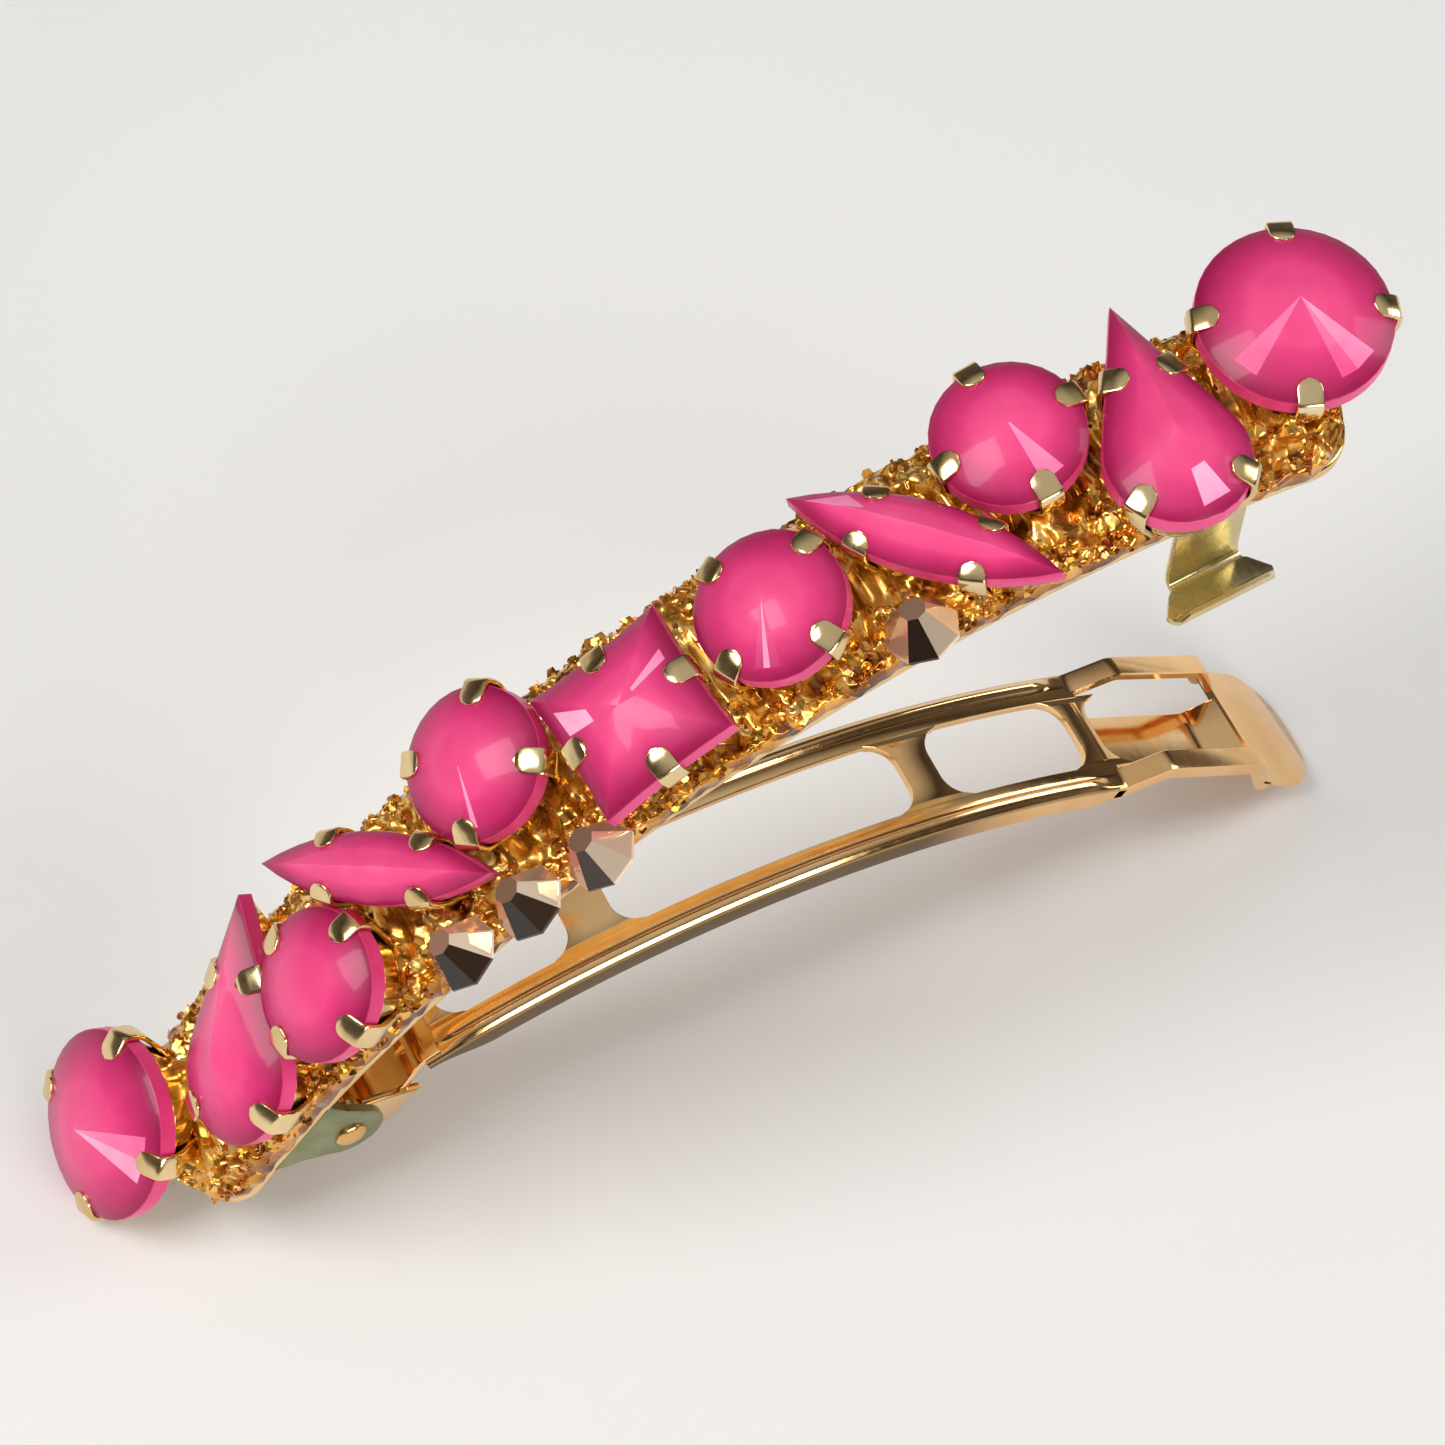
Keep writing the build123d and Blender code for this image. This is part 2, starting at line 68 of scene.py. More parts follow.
# ---- locking arm -------------------------------------------------------------------------------
ARM_R, ARM_START, ARM_W = 50.2, -30.6, 7.7
SHEET_T = 0.5                       # a tenth thinner than in the CAD model
SLOT_W, SLOT_CORNER = 4.4, 1.5
SLOTS = [(7.0, 14.8), (17.4, 35.2), (37.2, 46.8)]
FOOT, RISEN, FALLING, LEVEL, TAB_END = 48.2, 50.8, 58.4, 60.4, 66.6
BUCKLE_RISE, TONGUE_DROP, TAIL_DROP = 1.3, 1.7, 2.9
BUCKLE_RAIL_Y, BUCKLE_RAIL_HALF, BUCKLE_FLANGE = 3.2, 0.65, 0.95
TONGUE_HALF, TAIL_HALF = 2.0, 3.6
CHEEK_T, CHEEK_ROUND = 0.45, 1.35
RAIL_START, RAIL_STEPS = 5.2, 160
WALL_REFLECTION_TONE = 0.06                    # painted dark reflection on the rails' outer walls, from the hinge to where it starts to fade
REFLECTION_FADE_START, REFLECTION_FADE_END = 34, 42       # the painted reflection fades to plain gold between these

# ---- stones: outline, place along and across, lift, turn, lean along and across ----------------
STONES = {
    "01_round": ("round_10", 39.2, 1.7, 0.0, -20, -8, 3),
    "02_pear": ("pear", 29.8, -3.2, 0.0, 83, 0, 0),
    "03_round": ("round_8", 23.1, 1.7, 0.0, 3, -3, 1),
    "04_navette": ("navette", 17.0, -1.1, 0.0, -47, 0, 0),
    "05_round": ("round_8", 8.9, -0.3, 0.0, 28, -3, 0),
    "06_square": ("square", 0.4, -1.1, 0.0, 4, 0, 0),
    "07_round": ("round_8", -7.8, 1.7, 0.0, 55, -3, 0),
    "08_navette": ("navette", -15.2, 0.7, 0.0, -38, 0, 0),
    "09_round": ("round_8", -21.4, -1.9, 0.0, 16, -2, -1),
    "10_pear": ("pear", -29.5, -1.6, -0.8, 49, 0, 0),
    "11_round": ("round_10", -39.7, 2.2, 0.0, 30, 4, 0),
}
ROUND_R = {"round_10": 5.0, "round_8": 3.9}
PEAR_R, PEAR_L = 3.7, 12.7
NAVETTE_W, NAVETTE_L = 3.7, 14.2
SQUARE_W = 7.7
CROWN_H = {"round_10": 1.85, "round_8": 1.5, "pear": 1.6, "navette": 1.2, "square": 1.5}
GIRDLE_T, STONE_DEPTH, SETTING_H = 1.0, 3.0, 3.4
# place along and across, lift
CHATONS = {
    "1": (14.7, -4.7, -1.8),
    "2": (-4.9, -5.4, -2.1),
    "3": (-9.4, -5.3, -1.8),
    "4": (-13.9, -5.2, -1.8),
}
CHATON_R, CHATON_TABLE, CHATON_UP, CHATON_DOWN, CHATON_ROLL = 1.95, 0.7, 1.9, 1.3, -14

# ---- camera and floor, in metres but for the lens ----------------------------------------------
CAMERA_PLACE = (-0.09161, -0.11174, 0.26352)
CAMERA_TARGET = (-0.005747, -0.00364, 0.036148)
CAMERA_ROLL = -13.24
LENS, SENSOR_WIDTH, NEAREST = 137.7, 36, 0.01
LIGHT_TARGET = (0, 0, 0.025)
FLOOR_REACH = 1.5


# ---- places ------------------------------------------------------------------------------------
def arc_point(radius, s, y):
    """Point s millimetres along the girdle arc, at a radius from the arc's centre."""
    angle = math.radians(LEAN) + s / GIRDLE_R
    return Vector((ARC_X + radius * math.sin(angle), y, ARC_Z + radius * math.cos(angle)))


def on_arc(radius, s, y=0.0, turn=0.0, lean=0.0, roll=0.0):
    """Matrix of a place on the clip's arc: x along the clip, z outward, then leant and turned."""
    angle = math.radians(LEAN) + s / GIRDLE_R
    tangent = Matrix.Rotation(angle, 4, "Y")
    tilt = Matrix.Rotation(math.radians(roll), 4, "X") @ Matrix.Rotation(math.radians(lean), 4, "Y")
    spin = Matrix.Rotation(math.radians(turn), 4, "Z")
    return Matrix.Translation(arc_point(radius, s, y)) @ tangent @ tilt @ spin


PIN = arc_point(PLATE_R - PIN_DEPTH, PIN_S, 0)
ARM_OUT = Vector((math.sin(math.radians(ARM_START)), 0, math.cos(math.radians(ARM_START))))
ARM_CENTRE = PIN - ARM_OUT * ARM_R


def on_arm(s, y, n):
    """Point s along the arm, y across it and n outward from its upper face."""
    angle = math.radians(ARM_START) + s / ARM_R
    return ARM_CENTRE + Vector((math.sin(angle) * (ARM_R + n), y, math.cos(angle) * (ARM_R + n)))


# ---- mesh building -----------------------------------------------------------------------------
class Shape:
    """Vertices and faces of one piece, in millimetres, with a tone from 0 to 1 at each vertex, which the
    materials use for painted light and shade.
    """

    def __init__(self):
        self.points = []
        self.faces = []
        self.tones = []

    def add(self, points, tones=None):
        first = len(self.points)
        self.points += [Vector(p) for p in points]
        self.tones += list(tones) if tones else [0.5] * len(points)
        return list(range(first, first + len(points)))

    def loft(self, rings, closed=True, caps=True, tones=None):
        """Skin a row of rings that have the same number of points; tones are lists, one for each ring."""
        rows = [self.add(ring, tones[k] if tones else None) for k, ring in enumerate(rings)]
        count = len(rings[0])
        span = count if closed else count - 1
        for low, high in zip(rows, rows[1:]):
            for i in range(span):
                j = (i + 1) % count
                self.faces.append((low[i], low[j], high[j], high[i]))
        if caps:
            self.faces.append(tuple(reversed(rows[0])))
            self.faces.append(tuple(rows[-1]))
        return rows

    def moved(self, matrix, first=0):
        for k in range(first, len(self.points)):
            self.points[k] = matrix @ self.points[k]


def make(name, shape, material, body, replaces=(), sharp=35):
    """Turn a shape into an object that rides on a body, takes the given material and hides the CAD parts it
    replaces.
    """
    mesh = bpy.data.meshes.new(name)
    mesh.from_pydata([p * MM for p in shape.points], [], shape.faces)
    tone = mesh.attributes.new("tone", "FLOAT", "POINT")
    tone.data.foreach_set("value", shape.tones)
    mesh.validate()
    piece = bpy.data.objects.new(name, mesh)
    bpy.context.collection.objects.link(piece)
    bpy.context.view_layer.objects.active = piece
    bpy.ops.object.select_all(action="DESELECT")
    piece.select_set(True)
    bpy.ops.object.mode_set(mode="EDIT")
    bpy.ops.mesh.select_all(action="SELECT")
    bpy.ops.mesh.normals_make_consistent(inside=False)
    bpy.ops.object.mode_set(mode="OBJECT")
    mesh.polygons.foreach_set("use_smooth", [sharp > 0] * len(mesh.polygons))
    if sharp > 0:
        mesh.set_sharp_from_angle(angle=math.radians(sharp))
    mesh.materials.append(material)
    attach(piece, body)
    if replaces:
        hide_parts(*replaces)
    return piece


def rounded_box(half_width, low, high, radius, steps=3):
    """Closed loop of (across, height) points round a strip's section."""
    radius = min(radius, half_width, (high - low) / 2)
    corners = [(half_width - radius, high - radius, 0), (-half_width + radius, high - radius, 90),
               (-half_width + radius, low + radius, 180), (half_width - radius, low + radius, 270)]
    loop = []
    for x, y, start in corners:
        for k in range(steps + 1):
            angle = math.radians(start + 90 * k / steps)
            loop.append((x + radius * math.cos(angle), y + radius * math.sin(angle)))
    return loop


def smooth_path(corners, radius, steps=5):
    """Points along a run of straight lines with its corners rounded by quadratic curves."""
    corners = [Vector(c) for c in corners]
    path = [corners[0]]
    for before, corner, after in zip(corners, corners[1:], corners[2:]):
        back, ahead = before - corner, after - corner
        start = corner + back.normalized() * min(radius, back.length * 0.48)
        end = corner + ahead.normalized() * min(radius, ahead.length * 0.48)
        for k in range(steps + 1):
            t = k / steps
            path.append(start * (1 - t) ** 2 + corner * 2 * t * (1 - t) + end * t ** 2)
    path.append(corners[-1])
    return path


def path_normals(path):
    """Unit normals of a flat path, turned left from its direction."""
    normals = []
    for k in range(len(path)):
        direction = (path[min(k + 1, len(path) - 1)] - path[max(k - 1, 0)]).normalized()
        normals.append(Vector((-direction[1], direction[0])))
    return normals


# ---- materials ---------------------------------------------------------------------------------
def new_material(name):
    material = bpy.data.materials.new(name)
    material.use_nodes = True
    tree = material.node_tree
    return material, tree.nodes, tree.links, tree.nodes["Principled BSDF"]


def noise_node(nodes, links, scale, detail=4.0, roughness=0.5):
    place = nodes.new("ShaderNodeTexCoord")
    texture = nodes.new("ShaderNodeTexNoise")
    texture.inputs["Scale"].default_value = scale
    texture.inputs["Detail"].default_value = detail
    texture.inputs["Roughness"].default_value = roughness
    links.new(place.outputs["Object"], texture.inputs["Vector"])
    return texture


def ramp_node(nodes, links, source, stops):
    ramp = nodes.new("ShaderNodeValToRGB")
    elements = ramp.color_ramp.elements
    while len(elements) < len(stops):
        elements.new(0.5)
    for element, (place, colour) in zip(elements, stops):
        element.position = place
        element.color = (*colour, 1)
    links.new(source, ramp.inputs["Fac"])
    return ramp


def range_node(nodes, links, source, low, high, from_low=0.3, from_high=0.7):
    mapped = nodes.new("ShaderNodeMapRange")
    for name, value in (("From Min", from_low), ("From Max", from_high), ("To Min", low), ("To Max", high)):
        mapped.inputs[name].default_value = value
    links.new(source, mapped.inputs["Value"])
    return mapped


def bump_node(nodes, links, shader, source, strength, distance):
    bump = nodes.new("ShaderNodeBump")
    bump.inputs["Strength"].default_value = strength
    bump.inputs["Distance"].default_value = distance * MM
    links.new(source, bump.inputs["Height"])
    links.new(bump.outputs["Normal"], shader.inputs["Normal"])


def gold(name, light, dark, roughness, ripple=0.25):
    """Plated sheet with slow colour changes and fine polishing marks, darker where the tone is below 0.5:
    painted dark reflections.
    """
    material, nodes, links, shader = new_material(name)
    shader.inputs["Metallic"].default_value = 1.0
    cloud = noise_node(nodes, links, 220, 3)
    colour = ramp_node(nodes, links, cloud.outputs["Fac"], [(0.35, dark), (0.65, light)])
    tone = nodes.new("ShaderNodeAttribute")
    tone.attribute_name = "tone"
    shade = range_node(nodes, links, tone.outputs["Fac"], 0.05, 1.0, 0.0, 0.5)
    shaded = nodes.new("ShaderNodeVectorMath")
    shaded.operation = "SCALE"
    links.new(colour.outputs["Color"], shaded.inputs[0])
    links.new(shade.outputs["Result"], shaded.inputs["Scale"])
    links.new(shaded.outputs["Vector"], shader.inputs["Base Color"])
    wear = noise_node(nodes, links, 1400, 6, 0.65)
    gloss = range_node(nodes, links, wear.outputs["Fac"], roughness * 0.7, roughness * 1.5)
    links.new(gloss.outputs["Result"], shader.inputs["Roughness"])
    waves = noise_node(nodes, links, 420, 2)
    bump_node(nodes, links, shader, waves.outputs["Fac"], ripple, 0.05)
    return material


def stone_glass():
    """Milky pink glass, cloudy inside, with a painted glow bright in the middle of the crown, painted shade
    towards the edge and pale painted reflections on some facets.
    """
    material, nodes, links, shader = new_material("stone_glass")
    tone = nodes.new("ShaderNodeAttribute")
    tone.attribute_name = "tone"
    cloud = noise_node(nodes, links, 300, 3)
    drift = range_node(nodes, links, cloud.outputs["Fac"], -0.05, 0.05)
    mixed = nodes.new("ShaderNodeMath")
    mixed.operation = "ADD"
    links.new(tone.outputs["Fac"], mixed.inputs[0])
    links.new(drift.outputs["Result"], mixed.inputs[1])
    colour = ramp_node(nodes, links, mixed.outputs["Value"], [
        (0.0, (0.26, 0.004, 0.05)), (0.3, (0.48, 0.018, 0.12)), (0.58, (0.78, 0.045, 0.21)),
        (0.76, (0.97, 0.09, 0.29)), (0.88, (1.0, 0.26, 0.50)), (1.0, (1.0, 0.50, 0.74))])
    links.new(colour.outputs["Color"], shader.inputs["Base Color"])
    shader.inputs["Roughness"].default_value = 0.35
    shader.inputs["Subsurface Weight"].default_value = 0.15
    shader.inputs["Subsurface Radius"].default_value = (1.0, 0.35, 0.5)
    shader.inputs["Subsurface Scale"].default_value = 1.2 * MM
    shader.inputs["IOR"].default_value = 1.55
    shader.inputs["Specular IOR Level"].default_value = 0.2
    shader.inputs["Coat Weight"].default_value = 0.22
    shader.inputs["Coat Roughness"].default_value = 0.05
    shader.inputs["Coat IOR"].default_value = 1.5
    return material


def chaton_mirror():
    """Foil-backed glass, nearly black or bright rose gold by each facet's tone, a painted reflection."""
    material, nodes, links, shader = new_material("chaton_mirror")
    shader.inputs["Metallic"].default_value = 0.6
    tone = nodes.new("ShaderNodeAttribute")
    tone.attribute_name = "tone"
    colour = ramp_node(nodes, links, tone.outputs["Fac"], [
        (0.0, (0.02, 0.012, 0.008)), (0.35, (0.42, 0.22, 0.14)),
        (0.7, (0.90, 0.56, 0.36)), (1.0, (1.0, 0.80, 0.60))])
    links.new(colour.outputs["Color"], shader.inputs["Base Color"])
    shader.inputs["Roughness"].default_value = 0.05
    shader.inputs["Coat Weight"].default_value = 0.6
    shader.inputs["Coat Roughness"].default_value = 0.02
    return material


def glitter(name, flakes):
    """Glue crowded with gold foil: dark with painted shade in the creases, with each cell of the pattern a
    flake.
    """
    material, nodes, links, shader = new_material(name)
    place = nodes.new("ShaderNodeTexCoord")
    cells = nodes.new("ShaderNodeTexVoronoi")
    cells.inputs["Scale"].default_value = 2600 if flakes else 1100
    links.new(place.outputs["Object"], cells.inputs["Vector"])
    split = nodes.new("ShaderNodeSeparateColor")
    links.new(cells.outputs["Color"], split.inputs["Color"])
    spread = range_node(nodes, links, split.outputs[0], -0.28, 0.28, 0, 1)
    tone = nodes.new("ShaderNodeAttribute")
    tone.attribute_name = "tone"
    mixed = nodes.new("ShaderNodeMath")
    mixed.operation = "ADD"
    links.new(tone.outputs["Fac"], mixed.inputs[0])
    links.new(spread.outputs["Result"], mixed.inputs[1])
    colour = ramp_node(nodes, links, mixed.outputs["Value"], [
        (0.0, (0.05, 0.012, 0.001)), (0.3, (0.36, 0.11, 0.006)),
        (0.6, (0.86, 0.40, 0.035)), (1.0, (1.0, 0.70, 0.22))])
    links.new(colour.outputs["Color"], shader.inputs["Base Color"])
    shader.inputs["Metallic"].default_value = 0.85
    gloss = range_node(nodes, links, split.outputs[1], 0.10, 0.38, 0, 1)
    links.new(gloss.outputs["Result"], shader.inputs["Roughness"])
    bump_node(nodes, links, shader, split.outputs[2], 0.45, 0.12)
    shader.inputs["Coat Weight"].default_value = 0.8
    shader.inputs["Coat Roughness"].default_value = 0.06
    return material


PLATE_GOLD = gold("plate_gold", (0.95, 0.66, 0.28), (0.84, 0.52, 0.19), 0.14)
# the ears' dull olive-grey colour is a painted reflection on the metal
EAR_PAINTED_REFLECTION = gold("ear_painted_reflection", (0.34, 0.34, 0.19), (0.20, 0.22, 0.12), 0.35)
ARM_GOLD = gold("arm_gold", (1.0, 0.66, 0.32), (0.90, 0.53, 0.22), 0.11)
CLASP_GOLD = gold("clasp_gold", (0.78, 0.68, 0.38), (0.66, 0.55, 0.27), 0.22)
RIVET_METAL = gold("rivet_metal", (0.86, 0.50, 0.20), (0.70, 0.38, 0.13), 0.18)
SETTING_GOLD = gold("setting_gold", (0.90, 0.70, 0.38), (0.74, 0.53, 0.25), 0.15)
STONE_GLASS = stone_glass()
CHATON_MIRROR = chaton_mirror()
GLUE = glitter("glitter_glue", False)
FLAKES = glitter("glitter_flakes", True)


# ---- stones ------------------------------------------------------------------------------------
def outline(shape, count):
    """Closed outline of a stone, counter-clockwise, with a point at angle 0."""
    if shape in ROUND_R:
        radius = ROUND_R[shape]
        turns = [math.tau * k / count for k in range(count)]
        return [Vector((radius * math.cos(turn), radius * math.sin(turn), 0)) for turn in turns]
    points = []
    if shape == "square":
        half, hollow = SQUARE_W / 2, 0.16
        side = count // 4
        for quarter in range(4):
            spin = Matrix.Rotation(math.radians(90 * quarter), 4, "Z")
            for k in range(side):
                t = 2 * k / side - 1
                points.append(spin @ Vector((half - hollow * (1 - t * t), half * t, 0)))
        return points
    if shape == "navette":
        bow = (NAVETTE_L ** 2 + NAVETTE_W ** 2) / (4 * NAVETTE_W)
        reach = math.asin(NAVETTE_L / 2 / bow)
        for side in (1, -1):
            for k in range(count // 2):
                angle = reach - 2 * reach * k / (count // 2)
                x = bow * math.sin(angle) * side
                y = (bow * math.cos(angle) - bow + NAVETTE_W / 2) * side
                points.append(Vector((x, y, 0)))
        return points
    tip = PEAR_L - PEAR_R
    touch = math.acos(PEAR_R / tip)
    flank = count // 4
    start = Vector((PEAR_R * math.cos(touch), PEAR_R * math.sin(touch), 0))
    tip_point = Vector((tip, 0, 0))
    upper = [tip_point.lerp(start, k / flank) for k in range(flank)]
    around = count - 2 * flank + 1
    arc = []
    for k in range(around):
        angle = touch + (math.tau - 2 * touch) * k / (around - 1)
        arc.append(Vector((PEAR_R * math.cos(angle), PEAR_R * math.sin(angle), 0)))
    lower = [Vector((p.x, -p.y, 0)) for p in reversed(upper[1:])]
    return upper + arc + lower


FACETS = {"round_10": 20, "round_8": 16, "pear": 16, "navette": 12, "square": 8}
# Pale facets painted where the photograph shows reflections; being tones, they stay in every view.
# Direction in degrees, the shares of the facet's width they span, how far from the tip, tone.
FLASHES = {
    "01_round": [(225, 0, 1, 0, 0.86), (297, 0.3, 1, 0, 0.84), (315, 0, 1, 0, 0.92)],
    "02_pear": [(190, 0, 1, 0.5, 1.0)],
    "03_round": [(281, 0, 1, 0.05, 0.92)],
    "04_navette": [(174, 0, 1, 0.3, 0.9)],
    "05_round": [(214, 0.35, 0.6, 0.1, 0.95)],
    "06_square": [(140, 0.25, 0.75, 0.5, 1.0), (10, 0.3, 0.5, 0.3, 0.95)],
    "07_round": [(191, 0.35, 0.6, 0.1, 0.95)],
    "11_round": [(279, 0, 1, 0, 0.86), (261, 0, 1, 0, 0.96)],
}
# Painted glow and shade of the crown: painted bright at the tip, painted shade down to the rim.
TIP_PAINTED_GLOW, WAIST_PAINTED_GLOW, SHOULDER_PAINTED_SHADE, RIM_PAINTED_SHADE = 0.76, 0.68, 0.34, 0.08
WAIST = 0.55


def crown_facet(stone, corners, flash):
    """One long facet with a pale patch, a painted reflection: corners are the tip's two ends, then the
    shoulder's two.
    """
    tip_a, tip_b, low_a, low_b = corners
    start, stop, inner, tone = flash

    def at(share, down):
        return tip_a.lerp(tip_b, share).lerp(low_a.lerp(low_b, share), down)

    def patch(left, right, top, foot, top_tone, foot_tone):
        ids = stone.add([at(left, top), at(left, foot), at(right, foot), at(right, top)],
                        [top_tone, foot_tone, foot_tone, top_tone])
        stone.faces.append(tuple(ids))

    for left, right in ((0, start), (stop, 1)):
        if right - left > 0.01:
            patch(left, right, 0, WAIST, TIP_PAINTED_GLOW, WAIST_PAINTED_GLOW)
            patch(left, right, WAIST, 1, WAIST_PAINTED_GLOW, SHOULDER_PAINTED_SHADE)
    if inner > 0:
        patch(start, stop, 0, inner, TIP_PAINTED_GLOW, WAIST_PAINTED_GLOW)
    patch(start, stop, inner, 1, tone, tone - 0.06)


def stone_shape(name, shape):
    """Pointed crown of long facets over a polished girdle, and a pavilion that the cup hides."""
    count = FACETS[shape] * 2
    edge = outline(shape, count)
    height = CROWN_H[shape]
    stone = Shape()
    # the crown's line runs from a short ridge in the middle; a round stone's ridge is a point
    ridge = {"pear": 0.16, "navette": 0.52}.get(shape, 0.0)
    centre = Vector((PEAR_L * 0.10, 0, 0)) if shape == "pear" else Vector((0, 0, 0))
    shoulder_share, shoulder_height = (0.86, 0.24) if shape != "square" else (0.80, 0.30)
    half = count // 2
    keel, shoulder = [], []
    for p in edge[::2]:
        along = Vector(((p.x - centre.x) * ridge, 0, 0))
        keel.append(centre + along + Vector((0, 0, height * (1 - 0.35 * ridge * abs(p.x) / 7))))
        shoulder.append(Vector((p.x * shoulder_share, p.y * shoulder_share, height * shoulder_height)))
    waist = [a.lerp(b, WAIST) for a, b in zip(keel, shoulder)]
    if ridge:
        top = stone.add(keel, [TIP_PAINTED_GLOW] * half)
    else:
        top = stone.add([keel[0]], [TIP_PAINTED_GLOW]) * half
    mid = stone.add(waist, [WAIST_PAINTED_GLOW] * half)
    low = stone.add(shoulder, [SHOULDER_PAINTED_SHADE] * half)
    rims = stone.add([Vector((p.x * 0.985, p.y * 0.985, 0.0)) for p in edge], [RIM_PAINTED_SHADE] * count)
    flashes = {}
    for direction, *flash in FLASHES.get(name, []):
        gaps = []
        for k in range(half):
            middle = edge[(2 * k + 1) % count]
            off = math.degrees(math.atan2(middle.y, middle.x)) - direction
            gaps.append((abs((off + 180) % 360 - 180), k))
        flashes[min(gaps)[1]] = flash
    for k in range(half):
        j = (k + 1) % half
        if k in flashes:
            crown_facet(stone, (keel[k], keel[j], shoulder[k], shoulder[j]), flashes[k])
        else:
            stone.faces.append((top[k], mid[k], mid[j], top[j]) if ridge else (top[k], mid[k], mid[j]))
            stone.faces.append((mid[k], low[k], low[j], mid[j]))
        stone.faces.append((low[k], rims[2 * k], rims[2 * k + 1]))
        stone.faces.append((low[k], rims[2 * k + 1], low[j]))
        stone.faces.append((low[j], rims[2 * k + 1], rims[(2 * k + 2) % count]))
    rings = []
    # girdle and pavilion tones: a painted lighter band on the girdle, then painted shade down the pavilion
    for scale, z, tone in ((1.0, -0.06, 0.60), (1.0, -GIRDLE_T + 0.06, 0.64), (0.985, -GIRDLE_T, 0.5),
                           (0.84, -GIRDLE_T - 0.05, 0.2), (0.3, -STONE_DEPTH, 0.1)):
        rings.append(stone.add([Vector((p.x * scale, p.y * scale, z)) for p in edge], [tone] * count))
    rows = [rims] + rings
    for high, below in zip(rows, rows[1:]):
        for i in range(count):
            j = (i + 1) % count
            stone.faces.append((high[i], below[i], below[j], high[j]))
    stone.faces.append(tuple(rows[-1]))
    return stone


# ---- settings ----------------------------------------------------------------------------------
def prong_feet(shape):
    """Where the claws cross the outline: along, across, outward angle in degrees."""
    if shape in ROUND_R:
        radius = ROUND_R[shape]
        return [(radius * math.cos(math.radians(a)), radius * math.sin(math.radians(a)), a)
                for a in (0, 90, 180, 270)]
    if shape == "square":
        half = SQUARE_W / 2 - 0.2
        return [(half, 0, 0), (0, half, 90), (-half, 0, 180), (0, -half, 270)]
    if shape == "navette":
        bow = (NAVETTE_L ** 2 + NAVETTE_W ** 2) / (4 * NAVETTE_W)
        x = NAVETTE_L * 0.21
        y = (bow ** 2 - x ** 2) ** 0.5 - bow + NAVETTE_W / 2
        slope = math.degrees(math.acos(x / bow))
        return [(x, y, slope), (-x, y, 180 - slope), (-x, -y, 180 + slope), (x, -y, -slope)]
    tip = PEAR_L - PEAR_R
    slope = math.degrees(math.acos(PEAR_R / tip))
    x = tip * 0.55
    y = (tip - x) / (tip ** 2 - PEAR_R ** 2) ** 0.5 * PEAR_R
    a, b = PEAR_R * math.cos(math.radians(125)), PEAR_R * math.sin(math.radians(125))
    return [(x, y, slope), (a, b, 125), (a, -b, -125), (x, -y, -slope)]


CLAW_W, CLAW_T, CLAW_GAP, CLAW_REACH = 1.3, 0.3, 0.05, 1.15


def add_claw(cup, shape, x, y, angle):
    """One claw: up the cup, past the girdle and folded over the crown in a round pad."""
    half = x * math.cos(math.radians(angle)) + y * math.sin(math.radians(angle))
    reach = min(CLAW_REACH, 0.32 * half)
    rest = CROWN_H[shape] * reach / 0.92 / half
    out = CLAW_GAP + CLAW_T / 2
    path = smooth_path([(-0.30 * half + 0.1, -SETTING_H + 0.1), (-0.04 * half + out, -GIRDLE_T - 0.35),
                        (out, -GIRDLE_T + 0.1), (out, 0.02), (-0.12, CLAW_T * 0.62),
                        (-reach, rest + CLAW_T * 0.45)], 0.3)
    extra = []
    for k in range(1, 6):
        extra.append(path[-2].lerp(path[-1], k / 5))
    path = path[:-1] + extra
    normals = path_normals(path)
    lengths = [0.0]
    for a, b in zip(path, path[1:]):
        lengths.append(lengths[-1] + (b - a).length)
    place = Matrix.Translation((x, y, 0)) @ Matrix.Rotation(math.radians(angle), 4, "Z")
    rings = []
    for point, normal, length in zip(path, normals, lengths):
        left = lengths[-1] - length
        pad = CLAW_W / 2 * 1.04
        width = pad if left > pad else max(0.06, math.sqrt(max(pad ** 2 - (pad - left) ** 2, 0)))
        thick = CLAW_T / 2 * (1 if left > pad else 0.55 + 0.45 * left / pad)
        ring = []
        for across, height in rounded_box(width, -thick, thick, thick * 0.8, 2):
            x_out, z_up = point[0] + normal[0] * height, point[1] + normal[1] * height
            ring.append(place @ Vector((x_out, across, z_up)))
        rings.append(ring)
    cup.loft(rings)


def setting_shape(shape):
    """Stamped cup with a rolled upper edge, a pressed line round it and four claws."""
    cup = Shape()
    edge = outline(shape, 64)
    walls = [(-SETTING_H, 0.66), (-SETTING_H + 0.1, 0.70), (-2.75, 0.775), (-2.6, 0.785), (-2.45, 0.80),
             (-1.9, 0.865), (-1.3, 0.93), (-1.12, 0.955), (-1.03, 0.962), (-1.0, 0.95), (-1.03, 0.925),
             (-1.4, 0.88), (-3.0, 0.64)]
    rings = [[Vector((p.x * scale, p.y * scale, z)) for p in edge] for z, scale in walls]
    cup.loft(rings)
    for foot in prong_feet(shape):
        add_claw(cup, shape, *foot)
    return cup


for name, (shape, s, y, lift, turn, lean, roll) in STONES.items():
    seat = on_arc(GIRDLE_R + lift, s, y, turn, lean, roll)
    stone = stone_shape(name, shape)
    stone.moved(seat)
    make(f"cut_stone_{name}", stone, STONE_GLASS, "frame", [f"stone_{name}"], sharp=42)
    cup = setting_shape(shape)
    cup.moved(seat)
    make(f"claw_setting_{name}", cup, SETTING_GOLD, "frame", [f"setting_{name}"], sharp=40)

